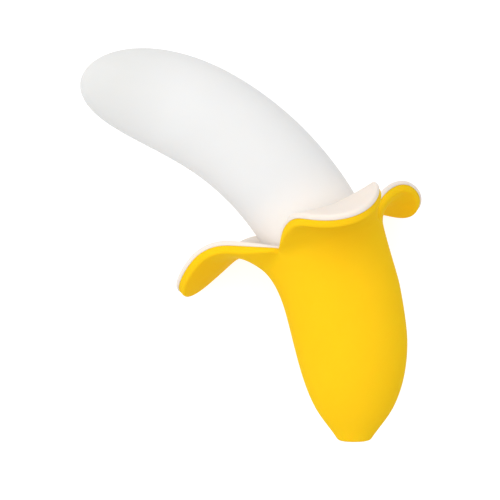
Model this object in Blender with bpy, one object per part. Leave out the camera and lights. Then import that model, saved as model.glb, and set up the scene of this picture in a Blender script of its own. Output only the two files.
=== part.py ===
"""Soft moulded copy of a peeled banana, lying on its side: white fruit, white lining, yellow peel.

The shape is drawn upright (stem's cut end on the origin, +Z up the stem, the bend towards -X),
then laid down the way it comes to rest. Metres and radians inside, degrees where a name says so.
"""

from math import cos, pi, radians, sin

import bmesh
import bpy
import numpy as np
from mathutils import Matrix, Vector

# Centre line: a straight stem, then one steady bend
LENGTH = 0.1953
STEM_RUN = 0.0230
BEND_RADIUS = 0.1110
BEND_TURN_DEG = 86.3
BEND_EASE = 0.020

# White fruit
FRUIT_RADIUS = 0.0199
FRUIT_TIP_RUN = 0.0596
FRUIT_TIP_FULLNESS = 2.80
FRUIT_SWELL = (-0.006, 0.010)

# Peel up to its mouth: distance from the cut end and outer radius, every place where the shape turns
MOUTH = 0.0744
PEEL_RADIUS = 0.0219
PEEL_OUTLINE = (
    (0.000, 0.0062),
    (0.0016, 0.0069),
    (0.005, 0.0094),
    (0.011, 0.0138),
    (0.018, 0.0171),
    (0.026, 0.0195),
    (0.034, 0.0209),
    (0.044, 0.0218),
    (0.056, 0.0220),
    (0.066, 0.0220),
    (0.080, 0.0218),
)
STEM_EDGE = 0.0008

# Layers: thin inside the cup, full on the petals, with a hair's gap between touching pieces
GAP = 0.0003
PEEL_WALL = (0.0022, 0.0031)
LINING_WALL = (0.0010, 0.0015)
WALL_CHANGE = (-0.005, 0.009)
CUP_FLOOR = 0.017
LINING_FLOOR = 0.0016
END_DISH = 0.0008

# Three petals, each a third of the way round: where its third lies and which way it leans out
THIRDS_DEG = (180.0, -60.0, 60.0)
LEAN_DEG = (176.2, -55.8, 48.9)
PETAL_REACH = (0.0406, 0.0291, 0.0275)
BEND_START = (-0.0234, -0.0257, -0.0228)
BEND_SETTLED = (-0.0004, 0.0043, 0.0050)
BEND_ONSET = 2.2
BEND_AT_MOUTH_DEG = (17.4, 48.5, 37.6)
CURL_START = (0.0004, 0.0034, -0.0030)
CURL_END = (0.0236, 0.0175, 0.0270)
BEND_AT_TIP_DEG = (105.0, 118.0, 144.4)
NOTCH_HEIGHTS = (0.0, -0.0027, 0.0012)
NOTCH_RADIUS = 0.0012
PETAL_WIDTH = (1.06, 0.94, 0.95)
PETAL_FULLNESS = (2.40, 1.90, 2.01)
PETAL_FLATTEN = (2.50, 2.26, 2.44)
FLATTEN_RUN = (-0.002, 0.012)
NOTCH_BLEND = 0.010
SECTOR = pi / 3
HIGHEST = 0.06

# Soft corners of the moulded edges
PEEL_CORNER = 0.0011
LINING_CORNER = 0.0007
CORNER_MIDDLE = 1.0 - cos(pi / 4)

# How it lies
VIEW_TURN_DEG = 17.4
LIE_PITCH_DEG = 8.13
LIE_ROLL_DEG = -5.07
FLAT_DEPTH = 0.0005

# Facets: columns and rows of each surface, and how many steps its curves are worked out in
PETAL_COLUMNS = 20
PETAL_ROWS = 12
FOLD_BUNCHING = 0.45
CUP_ROWS = 6
CUP_BUNCHING = 0.3
PETAL_ROOT = -0.022
STEM_ROWS = (0.0025, 0.005, 0.008, 0.0115, 0.0155, 0.020, 0.0255, 0.032, 0.039)
FRUIT_COLUMNS = 36
FRUIT_CUP_ROWS = 5
FRUIT_BODY_ROWS = 9
FRUIT_TIP_ROWS = 13
CURVE_STEPS = 2000
SHARP_DEG = 50.0

FRUIT_COLOUR = (0.90, 0.90, 0.89)
LINING_COLOUR = (0.93, 0.82, 0.73)
PEEL_COLOUR = (1.00, 0.62, 0.01)


def ease(x):
    """0 to 1 with soft ends."""
    x = np.clip(x, 0.0, 1.0)
    return x * x * (3.0 - 2.0 * x)


def running_sum(values, step):
    """Integral of evenly spaced values, starting at zero."""
    steps = 0.5 * (values[1:] + values[:-1]) * step
    start = np.zeros_like(values[:1])
    return np.concatenate([start, np.cumsum(steps, axis=0)])


class CentreLine:
    """Position, lean from the vertical and curvature along the banana's middle."""

    def __init__(self):
        self.s = np.linspace(0.0, LENGTH, CURVE_STEPS + 1)
        step = self.s[1]
        turn = radians(BEND_TURN_DEG)
        bend_end = STEM_RUN + BEND_RADIUS * turn
        begin = ease((self.s - STEM_RUN + BEND_EASE) / (2.0 * BEND_EASE))
        stop = ease((self.s - bend_end + BEND_EASE) / (2.0 * BEND_EASE))
        self.curvature = (begin - stop) / BEND_RADIUS
        self.lean = running_sum(self.curvature, step)
        self.x = running_sum(-np.sin(self.lean), step)
        self.z = running_sum(np.cos(self.lean), step)

    def at(self, s):
        """Points, forward and outward directions at distances s."""
        lean = np.interp(s, self.s, self.lean)
        nought = np.zeros_like(lean)
        point = np.stack([np.interp(s, self.s, self.x), nought, np.interp(s, self.s, self.z)], -1)
        forward = np.stack([-np.sin(lean), nought, np.cos(lean)], -1)
        outward = np.stack([np.cos(lean), nought, np.sin(lean)], -1)
        return point, forward, outward

    def bend_at(self, s):
        return np.interp(s, self.s, self.curvature)


LINE = CentreLine()
ACROSS = np.array([0.0, 1.0, 0.0])


def smooth_curve(x, knots):
    """Cubic through the knots that never overshoots them."""
    xs = np.array([k[0] for k in knots])
    ys = np.array([k[1] for k in knots])
    run = np.diff(xs)
    slope = np.diff(ys) / run
    tangent = np.zeros_like(xs)
    for i in range(1, len(xs) - 1):
        before, after = slope[i - 1], slope[i]
        if before * after > 0.0:
            tangent[i] = 2.0 * before * after / (before + after)
    tangent[0] = slope[0]
    x = np.clip(x, xs[0], xs[-1])
    i = np.clip(np.searchsorted(xs, x, side="right") - 1, 0, len(run) - 1)
    t = (x - xs[i]) / run[i]
    return (
        (1.0 + 2.0 * t) * (1.0 - t) ** 2 * ys[i]
        + t * (1.0 - t) ** 2 * run[i] * tangent[i]
        + t * t * (3.0 - 2.0 * t) * ys[i + 1]
        + t * t * (t - 1.0) * run[i] * tangent[i + 1]
    )


def peel_radius(s):
    return smooth_curve(s, PEEL_OUTLINE)


def wall(thickness, height):
    """A layer's thickness at a height above the mouth."""
    thin, full = thickness
    low, high = WALL_CHANGE
    return thin + (full - thin) * ease((height - low) / (high - low))


class Petal:
    """One petal's bend: a slow start below the mouth, then the fold over and down to its tip."""

    def __init__(self, k):
        self.third = radians(THIRDS_DEG[k])
        self.azimuth = radians(LEAN_DEG[k])
        self.reach = PETAL_REACH[k]
        self.width = PETAL_WIDTH[k]
        self.fullness = PETAL_FULLNESS[k]
        self.flatten = PETAL_FLATTEN[k]
        self.notches = (NOTCH_HEIGHTS[k], NOTCH_HEIGHTS[(k + 2) % 3])
        start, settled = BEND_START[k], BEND_SETTLED[k]
        at_mouth, at_tip = radians(BEND_AT_MOUTH_DEG[k]), radians(BEND_AT_TIP_DEG[k])
        curl = CURL_START[k]
        self.height = np.linspace(start, HIGHEST, CURVE_STEPS + 1)
        rise = at_mouth * np.clip((self.height - start) / (settled - start), 0.0, 1.0) ** BEND_ONSET
        droop = (at_tip - at_mouth) * ease((self.height - curl) / (CURL_END[k] - curl))
        self.angle = rise + droop
        s = np.minimum(MOUTH + self.height, MOUTH)
        forward, outward = LINE.at(s)[1:]
        facing = cos(self.azimuth) * outward + sin(self.azimuth) * ACROSS
        below = self.height <= 0.0
        stretch = 1.0 + np.where(below, PEEL_RADIUS * cos(self.azimuth) * LINE.bend_at(s), 0.0)
        away = (np.cos(self.angle) - 1.0)[:, None] * forward + np.sin(self.angle)[:, None] * facing
        self.shift = running_sum(away * stretch[:, None], self.height[1] - self.height[0])

    def bend(self, height):
        """Bend angle and shift at heights above the mouth."""
        angle = np.interp(height, self.height, self.angle, left=0.0)
        shift = [np.interp(height, self.height, self.shift[:, i], left=0.0) for i in range(3)]
        return angle, np.stack(shift, -1)


PETALS = [Petal(k) for k in range(3)]


def share(offset, own, height):
    """How much a petal's bend counts at an azimuth offset: shared near the notches, its own higher up."""
    near = 1.0 - ease((np.abs(offset) - SECTOR / 2.0) / SECTOR)
    fade = 1.0 - ease(height / NOTCH_BLEND)
    return np.where(own, 1.0 - (1.0 - near) * fade, near * fade)


def skin(azimuth, height, depth, owner=None):
    """Points of the cup and its petals: azimuth round the tube, height above the mouth, depth below the outside."""
    azimuth, height, depth = np.broadcast_arrays(azimuth, height, depth)
    s = np.minimum(MOUTH + height, MOUTH)
    centre, forward, outward = LINE.at(s)
    centre = centre + np.maximum(height, 0.0)[..., None] * forward
    radius = peel_radius(s)
    flat_start, flat_end = FLATTEN_RUN
    total = np.zeros(centre.shape)
    weights = np.zeros(azimuth.shape)
    for k, petal in enumerate(PETALS):
        offset = (azimuth - petal.azimuth + pi) % (2.0 * pi) - pi
        own = np.abs(offset) <= SECTOR + 1e-6 if owner is None else owner == k
        weight = share(offset, own, height)
        angle, shift = petal.bend(height)
        facing = cos(petal.azimuth) * outward + sin(petal.azimuth) * ACROSS
        sideways = -sin(petal.azimuth) * outward + cos(petal.azimuth) * ACROSS
        curve = radius * (1.0 + petal.flatten * ease((height - flat_start) / (flat_end - flat_start)))
        swing = radius * offset / curve
        inward = (curve - depth) * np.cos(swing) - curve
        aside = (curve - depth) * np.sin(swing)
        normal = np.cos(angle)[..., None] * facing - np.sin(angle)[..., None] * forward
        point = centre + radius[..., None] * facing + aside[..., None] * sideways + inward[..., None] * normal
        total += weight[..., None] * (point + shift)
        weights += weight
    return total / weights[..., None]


def petal_outline(k):
    """Edge of a petal laid flat: (distance round, height) and the inward direction, notch to notch over the tip."""
    half_width = PEEL_RADIUS * SECTOR
    petal = PETALS[k]
    steps = np.linspace(0.0, 1.0, CURVE_STEPS + 1)
    turn = steps * pi / 2.0
    notch = np.stack([half_width - NOTCH_RADIUS * np.sin(turn), NOTCH_RADIUS * (1.0 - np.cos(turn))], -1)
    rise = 1.0 - (1.0 - steps) ** 2
    taper = np.sqrt(np.maximum(1.0 - rise**petal.fullness, 0.0))
    width = petal.width * (half_width - NOTCH_RADIUS) * taper
    side = np.stack([width, NOTCH_RADIUS + (petal.reach - NOTCH_RADIUS) * rise], -1)
    half = np.concatenate([notch[:-1], side])
    line = np.concatenate([half, (half * [-1.0, 1.0])[::-1][1:]])
    travelled = np.concatenate([[0.0], np.cumsum(np.linalg.norm(np.diff(line, axis=0), axis=1))])
    even = np.linspace(0.0, 1.0, PETAL_COLUMNS + 1)
    along = travelled[-1] * (0.5 * even + 0.25 * (1.0 - np.cos(pi * even)))
    nearby = 0.0003

    def read(where):
        where = np.clip(where, 0.0, travelled[-1])
        return np.stack([np.interp(where, travelled, line[:, i]) for i in range(2)], -1)

    tangent = read(along + nearby) - read(along - nearby)
    tangent /= np.linalg.norm(tangent, axis=1)[:, None]
    inward = np.stack([-tangent[:, 1], tangent[:, 0]], -1)
    inward[0] = inward[-1] = (0.0, -1.0)
    points = read(along)
    first, last = petal.notches
    points[:, 1] += last + (first - last) * (points[:, 0] / half_width + 1.0) / 2.0
    return points, inward


OUTLINES = [petal_outline(k) for k in range(3)]


def outside(height):
    return np.zeros_like(height)


def peel_inside(height):
    return wall(PEEL_WALL, height)


def lining_outside(height):
    return peel_inside(height) + GAP


def lining_inside(height):
    return lining_outside(height) + wall(LINING_WALL, height)


def petal_ring(share_of_height, setback, face, below=0.0):
    """A closed ring round all three petals, on a face or below it: 0 is the petals' root, 1 their edge."""
    rings = []
    half_width = PEEL_RADIUS * SECTOR
    for k, petal in enumerate(PETALS):
        points, inward = OUTLINES[k]
        edge = points + setback * inward
        root = np.stack([np.linspace(half_width, -half_width, len(edge)), np.full(len(edge), PETAL_ROOT)], -1)
        place = root + share_of_height * (edge - root)
        azimuth = petal.third + place[:, 0] / PEEL_RADIUS
        rings.append(skin(azimuth, place[:, 1], face(place[:, 1]) + below, owner=k)[:-1])
    order = (2, 1, 0)
    return np.concatenate([rings[k] for k in order])


def cup_ring(s, depth):
    """A closed ring of points round the cup below the petals."""
    step = 2.0 * SECTOR / PETAL_COLUMNS
    start = radians(THIRDS_DEG[2]) + SECTOR
    azimuth = start - step * np.arange(3 * PETAL_COLUMNS)
    return skin(azimuth, s - MOUTH, depth)


def solid(name, rings, colour, start_centre, end_centre):
    """One closed body: rings joined in order, the first and last closed on a centre point."""
    mesh = bpy.data.meshes.new(name)
    columns = len(rings[0])
    points = [start_centre] + [p for ring in rings for p in ring] + [end_centre]
    faces = []
    for j in range(columns):
        faces.append((0, 1 + (j + 1) % columns, 1 + j))
    for i in range(len(rings) - 1):
        low = 1 + i * columns
        high = low + columns
        for j in range(columns):
            after = (j + 1) % columns
            faces.append((low + j, low + after, high + after, high + j))
    top = 1 + (len(rings) - 1) * columns
    last = len(points) - 1
    for j in range(columns):
        faces.append((top + j, top + (j + 1) % columns, last))
    mesh.from_pydata([tuple(p) for p in points], [], faces)
    shell = bmesh.new()
    shell.from_mesh(mesh)
    bmesh.ops.triangulate(shell, faces=shell.faces, quad_method="SHORT_EDGE")
    bmesh.ops.recalc_face_normals(shell, faces=shell.faces)
    shell.to_mesh(mesh)
    shell.free()
    mesh.shade_smooth()
    mesh.set_sharp_from_angle(angle=radians(SHARP_DEG))
    thing = bpy.data.objects.new(name, mesh)
    bpy.context.collection.objects.link(thing)
    thing.data.materials.append(silicone(name, colour))
    return thing


def silicone(name, colour):
    material = bpy.data.materials.new(name + "_silicone")
    material.use_nodes = True
    shader = material.node_tree.nodes["Principled BSDF"]
    shader.inputs["Base Color"].default_value = (*colour, 1.0)
    shader.inputs["Roughness"].default_value = 0.45
    shader.inputs["Metallic"].default_value = 0.0
    return material


def spaced(low, high, rows):
    """Places from low up to high, closer together near low; high itself is left to the next part."""
    t = np.linspace(0.0, 1.0, rows + 1)[:-1]
    return low + (high - low) * ((1.0 - CUP_BUNCHING) * t + CUP_BUNCHING * t * t)


def petal_shares():
    """Rows from the petals' root to their edge, closer together round the fold."""
    t = np.linspace(0.0, 1.0, PETAL_ROWS + 1)
    return t + FOLD_BUNCHING * np.sin(2.0 * pi * t) / (2.0 * pi)


def middle(s):
    """The point on the centre line at distance s."""
    return LINE.at(np.array([s]))[0][0]


def peel():
    """Yellow outer layer: from the stem's cut end up the outside, over the petals' edge and back down inside."""
    corner = CORNER_MIDDLE * PEEL_CORNER
    rings = [cup_ring(0.0, STEM_EDGE), cup_ring(STEM_EDGE, 0.0)]
    for s in STEM_ROWS:
        rings.append(cup_ring(s, 0.0))
    for t in petal_shares():
        rings.append(petal_ring(t, PEEL_CORNER, outside))
    rings.append(petal_ring(1.0, corner, outside, corner))
    rings.append(petal_ring(1.0, 0.0, outside, PEEL_CORNER))
    for t in petal_shares()[::-1]:
        rings.append(petal_ring(t, 0.0, peel_inside))
    for s in spaced(CUP_FLOOR, MOUTH + PETAL_ROOT, CUP_ROWS)[::-1]:
        rings.append(cup_ring(s, PEEL_WALL[0]))
    return solid("peel", rings, PEEL_COLOUR, middle(0.0), middle(CUP_FLOOR - END_DISH))


def lining():
    """White inner layer of the peel: a thin cup with the petals' pale faces."""
    corner = CORNER_MIDDLE * LINING_CORNER
    bottom = CUP_FLOOR + GAP
    top = bottom + LINING_FLOOR
    rings = []
    for s in spaced(bottom, MOUTH + PETAL_ROOT, CUP_ROWS):
        rings.append(cup_ring(s, PEEL_WALL[0] + GAP))
    for t in petal_shares():
        rings.append(petal_ring(t, 0.0, lining_outside))
    rings.append(petal_ring(1.0, 0.0, lining_inside, -LINING_CORNER))
    rings.append(petal_ring(1.0, corner, lining_inside, -corner))
    for t in petal_shares()[::-1]:
        rings.append(petal_ring(t, LINING_CORNER, lining_inside))
    for s in spaced(top, MOUTH + PETAL_ROOT, CUP_ROWS)[::-1]:
        rings.append(cup_ring(s, PEEL_WALL[0] + GAP + LINING_WALL[0]))
    return solid("lining", rings, LINING_COLOUR, middle(bottom - END_DISH), middle(top - END_DISH))


def fruit_radius(s):
    """Fits the cup below the mouth, swells to full size above it and rounds off at the tip."""
    low, high = FRUIT_SWELL
    inside = np.minimum(s, MOUTH)
    cup = peel_radius(inside) - lining_inside(inside - MOUTH) - GAP
    body = cup + (FRUIT_RADIUS - cup) * ease((s - MOUTH - low) / (high - low))
    left = np.clip((LENGTH - s) / FRUIT_TIP_RUN, 0.0, 1.0)
    return body * np.sqrt(np.maximum(1.0 - (1.0 - left) ** FRUIT_TIP_FULLNESS, 0.0))


def fruit():
    """White fruit: stands in the cup and runs on past the petals to a round tip."""
    bottom = CUP_FLOOR + LINING_FLOOR + 2.0 * GAP
    swell = MOUTH + FRUIT_SWELL[0]
    tip = LENGTH - FRUIT_TIP_RUN
    low = spaced(bottom, swell, FRUIT_CUP_ROWS)
    body = np.linspace(swell, tip, FRUIT_BODY_ROWS + 1)[:-1]
    quarter = np.linspace(0.0, pi / 2.0, FRUIT_TIP_ROWS + 1)[:-1]
    rounding = tip + FRUIT_TIP_RUN * np.sin(quarter)
    azimuth = -2.0 * pi * np.arange(FRUIT_COLUMNS) / FRUIT_COLUMNS
    rings = []
    for s in np.concatenate([low, body, rounding]):
        centre, forward, outward = (v[0] for v in LINE.at(np.array([s])))
        around = np.cos(azimuth)[:, None] * outward + np.sin(azimuth)[:, None] * ACROSS
        rings.append(centre + fruit_radius(s) * around)
    return solid("fruit", rings, FRUIT_COLOUR, middle(bottom - END_DISH), middle(LENGTH))


def lay_down(things):
    """Turn the upright shape so that the side that shows looks up and three soft spots touch the surface."""
    turn = radians(VIEW_TURN_DEG)
    right = Vector((cos(turn), sin(turn), 0.0))
    away = Vector((-sin(turn), cos(turn), 0.0))
    up = Vector((0.0, 0.0, 1.0))
    show = Matrix((right, up, -away)).to_4x4()
    settle = Matrix.Rotation(radians(LIE_PITCH_DEG), 4, "X") @ Matrix.Rotation(radians(LIE_ROLL_DEG), 4, "Y")
    for thing in things:
        thing.data.transform(settle @ show)
    corners = np.concatenate([[tuple(v.co) for v in thing.data.vertices] for thing in things])
    low, high = corners.min(0), corners.max(0)
    middle = (low + high) / 2.0
    shift = Matrix.Translation((-middle[0], -middle[1], -low[2] - FLAT_DEPTH))
    for thing in things:
        thing.data.transform(shift)


def flatten_under(things):
    """Small flats where the soft pieces touch the surface."""
    bpy.ops.mesh.primitive_cube_add(size=0.4, location=(0.0, 0.0, -0.2))
    ground = bpy.context.object
    ground.name = "ground_cutter"
    ground.hide_render = True
    ground.display_type = "WIRE"
    for thing in things:
        cut = thing.modifiers.new("rest", "BOOLEAN")
        cut.operation = "DIFFERENCE"
        cut.solver = "EXACT"
        cut.object = ground


def main():
    for thing in list(bpy.data.objects):
        bpy.data.objects.remove(thing, do_unlink=True)
    things = [peel(), lining(), fruit()]
    lay_down(things)
    flatten_under(things)


main()
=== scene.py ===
from math import radians

import bmesh
import bpy
from mathutils import Matrix, Vector


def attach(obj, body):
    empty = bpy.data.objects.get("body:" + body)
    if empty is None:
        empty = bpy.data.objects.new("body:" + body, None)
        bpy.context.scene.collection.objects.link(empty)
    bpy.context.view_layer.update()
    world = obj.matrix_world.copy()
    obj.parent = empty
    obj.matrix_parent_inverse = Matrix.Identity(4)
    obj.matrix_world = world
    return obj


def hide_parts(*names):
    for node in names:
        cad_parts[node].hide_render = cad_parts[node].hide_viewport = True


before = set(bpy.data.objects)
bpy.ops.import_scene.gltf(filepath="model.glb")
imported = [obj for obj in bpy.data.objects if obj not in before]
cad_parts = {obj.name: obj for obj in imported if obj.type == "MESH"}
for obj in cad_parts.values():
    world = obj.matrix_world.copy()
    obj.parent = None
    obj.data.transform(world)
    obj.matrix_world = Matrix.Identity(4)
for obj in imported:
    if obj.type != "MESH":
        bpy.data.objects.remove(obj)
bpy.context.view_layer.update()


# The white fruit: one soft moulding with a matte, finely blasted skin. It stands in the cup of the peel,
# where warm light bounced from the peel and lining is painted into its colour, and it ends in a plain round
# tip with painted shade, a touch darker.
FRUIT_COLOURS = ((0.735, 0.736, 0.733), (0.755, 0.756, 0.753))
# Painted bounce light: a warm, lighter colour near the mouth, standing in for light thrown back from the peel
# and lining.
PAINTED_BOUNCE_COLOUR = (0.85, 0.805, 0.76)
PAINTED_BOUNCE_REACH = (0.019, 0.035)
MOUTH_PLACE = (0.0230, -0.0030, 0.0352)
# Painted shade: a darker colour towards the fruit's round tip.
PAINTED_TIP_SHADE = (0.685, 0.686, 0.675)
TIP_SHADE_REACH = (0.012, 0.045)
TIP_PLACE = (-0.0640, 0.0680, 0.0300)
FRUIT_ROUGHNESS = 0.52
FRUIT_SCATTER = (0.0060, 0.0054, 0.0048)
FRUIT_SCATTER_SHARE = 0.7
SKIN_IOR = 1.41
SKIN_GLOSS = 0.002
SKIN_GRAIN = 0.00035
GRAIN_DETAIL = 2.0
GRAIN_DEPTH = 0.00004
GRAIN_STRENGTH = 0.5
SKIN_RIPPLE = 0.012
RIPPLE_DETAIL = 3.0
SHINE_CHANGE = 0.05
CLOUDS_PER_METRE = 45.0
CLOUD_DETAIL = 2.0
SQUARE_EDGE = radians(62.0)
SAME_FACE = radians(50.0)
SAME_POINT = 0.000002
ROUNDING_LEVELS = 2


def deselect_all():
    for thing in list(bpy.context.selected_objects):
        thing.select_set(False)


def hold_sharp_edges(piece):
    """Creases the edges where two layers meet square, so that rounding the facets opens no gap there."""
    shell = bmesh.new()
    shell.from_mesh(piece.data)
    crease = shell.edges.layers.float.new("crease_edge")
    for edge in shell.edges:
        if len(edge.link_faces) == 2 and edge.calc_face_angle() > SQUARE_EDGE:
            edge[crease] = 1.0
    shell.to_mesh(piece.data)
    shell.free()


def smooth_copy(node, name):
    """The node's own form with its facets rounded away: doubles merged, quads found, surface subdivided."""
    deselect_all()
    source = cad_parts[node]
    source.select_set(True)
    bpy.context.view_layer.objects.active = source
    bpy.ops.object.duplicate()
    piece = bpy.context.object
    piece.name = name
    piece.data.name = name
    piece.parent = None
    piece.matrix_world = Matrix.Identity(4)
    bpy.ops.object.mode_set(mode="EDIT")
    bpy.ops.mesh.select_all(action="SELECT")
    bpy.ops.mesh.remove_doubles(threshold=SAME_POINT)
    bpy.ops.mesh.tris_convert_to_quads(face_threshold=SAME_FACE, shape_threshold=SAME_FACE)
    bpy.ops.mesh.select_all(action="DESELECT")
    bpy.ops.object.mode_set(mode="OBJECT")
    hold_sharp_edges(piece)
    rounding = piece.modifiers.new("rounding", "SUBSURF")
    rounding.levels = ROUNDING_LEVELS
    rounding.render_levels = ROUNDING_LEVELS
    bpy.ops.object.modifier_apply(modifier="rounding")
    bpy.ops.object.shade_smooth()
    deselect_all()
    return piece


def soft_skin_group():
    """Moulded skin: a very fine blasted grain, and slow unevenness in how the surface shines."""
    group = bpy.data.node_groups.new("moulded_skin", "ShaderNodeTree")
    sockets = group.interface
    usual = {"Grains Per Metre": 1.0 / SKIN_GRAIN, "Depth": GRAIN_DEPTH, "Roughness": FRUIT_ROUGHNESS}
    for label, value in usual.items():
        made = sockets.new_socket(name=label, in_out="INPUT", socket_type="NodeSocketFloat")
        made.default_value = value
    sockets.new_socket(name="Roughness", in_out="OUTPUT", socket_type="NodeSocketFloat")
    sockets.new_socket(name="Height", in_out="OUTPUT", socket_type="NodeSocketFloat")
    nodes, links = group.nodes, group.links
    given = nodes.new("NodeGroupInput")
    result = nodes.new("NodeGroupOutput")
    place = nodes.new("ShaderNodeTexCoord")
    grain = nodes.new("ShaderNodeTexNoise")
    grain.inputs["Detail"].default_value = GRAIN_DETAIL
    links.new(place.outputs["Object"], grain.inputs["Vector"])
    links.new(given.outputs["Grains Per Metre"], grain.inputs["Scale"])
    slow = nodes.new("ShaderNodeTexNoise")
    slow.inputs["Scale"].default_value = 1.0 / SKIN_RIPPLE
    slow.inputs["Detail"].default_value = RIPPLE_DETAIL
    links.new(place.outputs["Object"], slow.inputs["Vector"])
    height = nodes.new("ShaderNodeMath")
    height.operation = "MULTIPLY"
    links.new(grain.outputs["Fac"], height.inputs[0])
    links.new(given.outputs["Depth"], height.inputs[1])
    links.new(height.outputs[0], result.inputs["Height"])
    vary = nodes.new("ShaderNodeMapRange")
    vary.inputs["To Min"].default_value = -SHINE_CHANGE
    vary.inputs["To Max"].default_value = SHINE_CHANGE
    links.new(slow.outputs["Fac"], vary.inputs["Value"])
    total = nodes.new("ShaderNodeMath")
    total.operation = "ADD"
    links.new(vary.outputs["Result"], total.inputs[0])
    links.new(given.outputs["Roughness"], total.inputs[1])
    links.new(total.outputs[0], result.inputs["Roughness"])
    return group


moulded_skin = soft_skin_group()


def soft_plastic(name, colours, roughness, scatter, scatter_share):
    """Light scattered just under the skin, a colour that is a touch uneven, and a fine grain in the bump."""
    material = bpy.data.materials.new(name)
    material.use_nodes = True
    nodes, links = material.node_tree.nodes, material.node_tree.links
    shader = nodes["Principled BSDF"]
    shader.inputs["Subsurface Weight"].default_value = scatter_share
    shader.inputs["Subsurface Radius"].default_value = (1.0, scatter[1] / scatter[0], scatter[2] / scatter[0])
    shader.inputs["Subsurface Scale"].default_value = scatter[0]
    shader.inputs["IOR"].default_value = SKIN_IOR
    shader.inputs["Specular IOR Level"].default_value = SKIN_GLOSS
    skin = nodes.new("ShaderNodeGroup")
    skin.node_tree = moulded_skin
    skin.inputs["Roughness"].default_value = roughness
    links.new(skin.outputs["Roughness"], shader.inputs["Roughness"])
    bump = nodes.new("ShaderNodeBump")
    bump.inputs["Strength"].default_value = GRAIN_STRENGTH
    bump.inputs["Distance"].default_value = 1.0
    links.new(skin.outputs["Height"], bump.inputs["Height"])
    links.new(bump.outputs["Normal"], shader.inputs["Normal"])
    place = nodes.new("ShaderNodeTexCoord")
    cloud = nodes.new("ShaderNodeTexNoise")
    cloud.inputs["Scale"].default_value = CLOUDS_PER_METRE
    cloud.inputs["Detail"].default_value = CLOUD_DETAIL
    links.new(place.outputs["Object"], cloud.inputs["Vector"])
    tint = nodes.new("ShaderNodeMix")
    tint.data_type = "RGBA"
    tint.inputs["A"].default_value = (*colours[0], 1.0)
    tint.inputs["B"].default_value = (*colours[1], 1.0)
    links.new(cloud.outputs["Fac"], tint.inputs["Factor"])
    links.new(tint.outputs["Result"], shader.inputs["Base Color"])
    return material


def tint_near(material, centre, reach, colour):
    """Turns the material's colour towards another one near a point, in full within the first distance."""
    nodes, links = material.node_tree.nodes, material.node_tree.links
    shader = nodes["Principled BSDF"]
    plain = shader.inputs["Base Color"].links[0].from_socket
    place = nodes.new("ShaderNodeTexCoord")
    apart = nodes.new("ShaderNodeVectorMath")
    apart.operation = "DISTANCE"
    apart.inputs[1].default_value = centre
    links.new(place.outputs["Object"], apart.inputs[0])
    fade = nodes.new("ShaderNodeMapRange")
    fade.interpolation_type = "SMOOTHSTEP"
    fade.inputs["From Min"].default_value = reach[0]
    fade.inputs["From Max"].default_value = reach[1]
    fade.inputs["To Min"].default_value = 1.0
    fade.inputs["To Max"].default_value = 0.0
    links.new(apart.outputs["Value"], fade.inputs["Value"])
    turned = nodes.new("ShaderNodeMix")
    turned.data_type = "RGBA"
    links.new(fade.outputs["Result"], turned.inputs["Factor"])
    links.new(plain, turned.inputs["A"])
    turned.inputs["B"].default_value = (*colour, 1.0)
    links.new(turned.outputs["Result"], shader.inputs["Base Color"])


fruit = smooth_copy("fruit", "fruit_body")
fruit.data.materials.clear()
white = soft_plastic("white_fruit", FRUIT_COLOURS, FRUIT_ROUGHNESS, FRUIT_SCATTER, FRUIT_SCATTER_SHARE)
# Painted bounce light: the fruit turns warm and lighter near the mouth of the peel.
tint_near(white, MOUTH_PLACE, PAINTED_BOUNCE_REACH, PAINTED_BOUNCE_COLOUR)
# Painted shade: the fruit turns a touch darker towards its tip.
tint_near(white, TIP_PLACE, TIP_SHADE_REACH, PAINTED_TIP_SHADE)
fruit.data.materials.append(white)
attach(fruit, "root")
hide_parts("fruit")


# The lining: the peel's pale inner layer, a second shot of soft plastic 1 to 1.5 mm thick.
# It shows on the petals' inner faces and as the white line along their cut edge.
LINING_COLOURS = ((0.83, 0.735, 0.655), (0.85, 0.755, 0.675))
LINING_ROUGHNESS = 0.5
LINING_SCATTER = (0.0030, 0.0022, 0.0017)
LINING_SCATTER_SHARE = 0.35
LAYER_GAP = 0.0003

lining = smooth_copy("lining", "peel_lining")
filled = lining.modifiers.new("filled", "DISPLACE")
filled.strength = LAYER_GAP
filled.mid_level = 0.0
bpy.context.view_layer.objects.active = lining
bpy.ops.object.modifier_apply(modifier="filled")
for corner in lining.data.vertices:
    corner.co.z = max(corner.co.z, 0.0)
lining.data.materials.clear()
lining.data.materials.append(
    soft_plastic("pale_lining", LINING_COLOURS, LINING_ROUGHNESS, LINING_SCATTER, LINING_SCATTER_SHARE)
)
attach(lining, "root")
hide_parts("lining")


# The peel: the yellow outer layer, moulded from the cut stem to the petals' rounded edges.
# Its colour runs through the plastic, so thin edges glow a little lighter than the body.
PEEL_COLOURS = ((0.91, 0.545, 0.011), (0.93, 0.565, 0.012))
PEEL_ROUGHNESS = 0.42
PEEL_SCATTER = (0.0028, 0.0014, 0.0002)
PEEL_SCATTER_SHARE = 0.25

peel = smooth_copy("peel", "peel_skin")
peel.data.materials.clear()
peel.data.materials.append(
    soft_plastic("yellow_peel", PEEL_COLOURS, PEEL_ROUGHNESS, PEEL_SCATTER, PEEL_SCATTER_SHARE)
)
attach(peel, "root")
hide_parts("peel")


# The floor: a plain pale sheet that the banana lies on, well past the edge of the picture. It has a glow of
# its own, as a table that is lit from below has, and it is stronger to the camera than to the banana.
FLOOR_HALF = 3.0
FLOOR_COLOUR = (0.35, 0.35, 0.35, 1.0)
FLOOR_ROUGHNESS = 0.9
FLOOR_GLOW_COLOUR = (1.0, 1.0, 1.0, 1.0)
FLOOR_GLOW = (0.62, 0.80)

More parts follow.
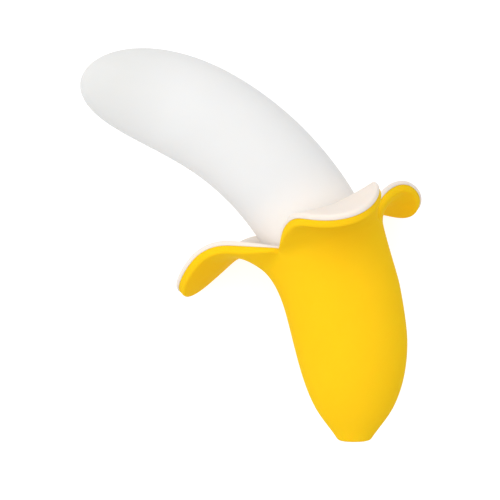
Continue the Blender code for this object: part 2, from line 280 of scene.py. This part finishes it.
deselect_all()
bpy.ops.mesh.primitive_plane_add(size=2.0 * FLOOR_HALF, location=(0.0, 0.0, 0.0))
floor = bpy.context.object
floor.name = "floor"
paper = bpy.data.materials.new("pale_paper")
paper.use_nodes = True
paper_shader = paper.node_tree.nodes["Principled BSDF"]
paper_shader.inputs["Base Color"].default_value = FLOOR_COLOUR
paper_shader.inputs["Roughness"].default_value = FLOOR_ROUGHNESS
paper_shader.inputs["Emission Color"].default_value = FLOOR_GLOW_COLOUR
glow = paper.node_tree.nodes.new("ShaderNodeMapRange")
glow.inputs["To Min"].default_value = FLOOR_GLOW[0]
glow.inputs["To Max"].default_value = FLOOR_GLOW[1]
seen = paper.node_tree.nodes.new("ShaderNodeLightPath")
paper.node_tree.links.new(seen.outputs["Is Camera Ray"], glow.inputs["Value"])
paper.node_tree.links.new(glow.outputs["Result"], paper_shader.inputs["Emission Strength"])
floor.data.materials.append(paper)


# The camera: the photograph's own angle on the banana, which lies down here, so it looks down from above.
# It is 700 mm away, 3 degrees above level for the shape as photographed, and aims at the shape's middle,
# measured from the stem's cut end.
LIE_PITCH_DEG = 8.13
LIE_ROLL_DEG = -5.07
CAMERA_RISE_DEG = 2.9
CAMERA_DISTANCE = 0.70
FRAME_WIDTH = 0.1863
AIM_FROM_STEM = Vector((-0.0384, 0.0714, 0.0))
CUT_END_DEPTH = 0.0003
SENSOR_WIDTH = 36.0

settle = Matrix.Rotation(radians(LIE_PITCH_DEG), 4, "X") @ Matrix.Rotation(radians(LIE_ROLL_DEG), 4, "Y")
look = settle @ Matrix.Rotation(radians(-CAMERA_RISE_DEG), 4, "X")
upright = settle.inverted()
peel_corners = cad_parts["peel"].data.vertices
heights = [(upright @ corner.co).y for corner in peel_corners]
cut_height = min(heights) + CUT_END_DEPTH
cut_end = [corner.co for corner, height in zip(peel_corners, heights) if height < cut_height]
stem_end = sum(cut_end, Vector()) / len(cut_end)
aim = stem_end + settle.to_3x3() @ AIM_FROM_STEM
lens = bpy.data.cameras.new("camera")
lens.sensor_width = SENSOR_WIDTH
lens.lens = lens.sensor_width * CAMERA_DISTANCE / FRAME_WIDTH
camera = bpy.data.objects.new("camera", lens)
bpy.context.collection.objects.link(camera)
camera.matrix_world = Matrix.Translation(aim) @ look @ Matrix.Translation((0.0, 0.0, CAMERA_DISTANCE))
bpy.context.scene.camera = camera


# The light: a white room, a little brighter overhead and on the wall past the mouth of the peel, that lights
# every side, and one broad soft lamp at the picture's upper left.
ROOM_COLOUR = (1.0, 1.0, 1.0, 1.0)
WALL_STRENGTH = 0.56
CEILING_STRENGTH = 0.84
WALL_LEAN = 0.06
LAMP_PLACE = (-0.72, 0.42, 2.20)
LAMP_SIZE = 2.4
LAMP_POWER = 34.0


def soft_box(name, place, size, power):
    """A round lamp at a place given as the camera sees it: right, up and towards the camera."""
    data = bpy.data.lights.new(name, "AREA")
    data.shape = "DISK"
    data.size = size
    data.energy = power
    box = bpy.data.objects.new(name, data)
    bpy.context.collection.objects.link(box)
    box.location = aim + look.to_3x3() @ Vector(place)
    box.rotation_euler = (aim - box.location).to_track_quat("-Z", "Y").to_euler()
    return box


soft_box("key_light", LAMP_PLACE, LAMP_SIZE, LAMP_POWER)
room = bpy.data.worlds.new("white_room")
room.use_nodes = True
room_nodes, room_links = room.node_tree.nodes, room.node_tree.links
direction = room_nodes.new("ShaderNodeTexCoord")
height_of = room_nodes.new("ShaderNodeSeparateXYZ")
walls_to_ceiling = room_nodes.new("ShaderNodeMapRange")
walls_to_ceiling.inputs["To Min"].default_value = WALL_STRENGTH
walls_to_ceiling.inputs["To Max"].default_value = CEILING_STRENGTH
room_links.new(direction.outputs["Generated"], height_of.inputs[0])
room_links.new(height_of.outputs["Z"], walls_to_ceiling.inputs["Value"])
lean = room_nodes.new("ShaderNodeMath")
lean.operation = "MULTIPLY_ADD"
lean.inputs[1].default_value = WALL_LEAN
lean.inputs[2].default_value = 1.0
room_links.new(height_of.outputs["Y"], lean.inputs[0])
strength = room_nodes.new("ShaderNodeMath")
strength.operation = "MULTIPLY"
room_links.new(walls_to_ceiling.outputs["Result"], strength.inputs[0])
room_links.new(lean.outputs[0], strength.inputs[1])
room_links.new(strength.outputs[0], room_nodes["Background"].inputs["Strength"])
room_nodes["Background"].inputs["Color"].default_value = ROOM_COLOUR
bpy.context.scene.world = room
bpy.context.scene.view_settings.view_transform = "Standard"
